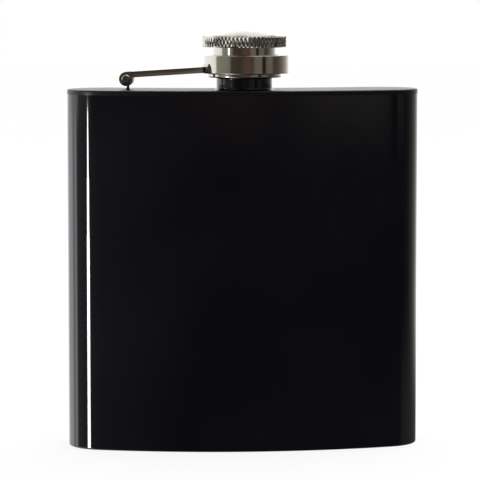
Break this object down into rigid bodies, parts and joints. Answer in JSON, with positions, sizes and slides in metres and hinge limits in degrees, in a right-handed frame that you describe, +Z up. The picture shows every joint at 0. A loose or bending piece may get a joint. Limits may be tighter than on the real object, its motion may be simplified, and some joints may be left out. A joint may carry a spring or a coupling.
{
  "type": "hip flask",
  "caption": "Curved pocket flask with a screw cap held captive by a hinged arm and a loose ring.",
  "frame": {"origin": "on the flat underside, straight below the axis of the neck", "axes": "+Z up along the neck, +X across the width away from the hinge, -Y towards the convex front"},
  "size_m": [0.095, 0.0275, 0.1129],
  "materials": {
    "black_paint": "high gloss black over steel sheet",
    "bright_metal": "polished plate",
    "soft_seal": "matt white silicone"
  },
  "bodies": {
    "flask": {"body_shell": "black_paint", "shoulder_plate": "black_paint", "base_plate": "black_paint", "neck": "black_paint", "hinge_post": "black_paint"},
    "arm": {"cap_arm": "bright_metal", "arm_ring": "bright_metal", "hinge_pin": "bright_metal"},
    "cap": {"cap_head": "bright_metal", "cap_barrel": "bright_metal", "cap_gasket": "soft_seal"}
  },
  "joints": [
    {"name": "arm_swing", "type": "hinge", "parent": "flask", "child": "arm", "pos_m": [-0.03145, 0.00386, 0.0996], "axis": [-0.1219, -0.9925, 0], "range_deg": [0, 177]},
    {"name": "cap_turn", "type": "hinge", "parent": "arm", "child": "cap", "pos_m": [0, 0, 0.1], "axis": [0, 0, 1], "continuous": true}
  ]
}
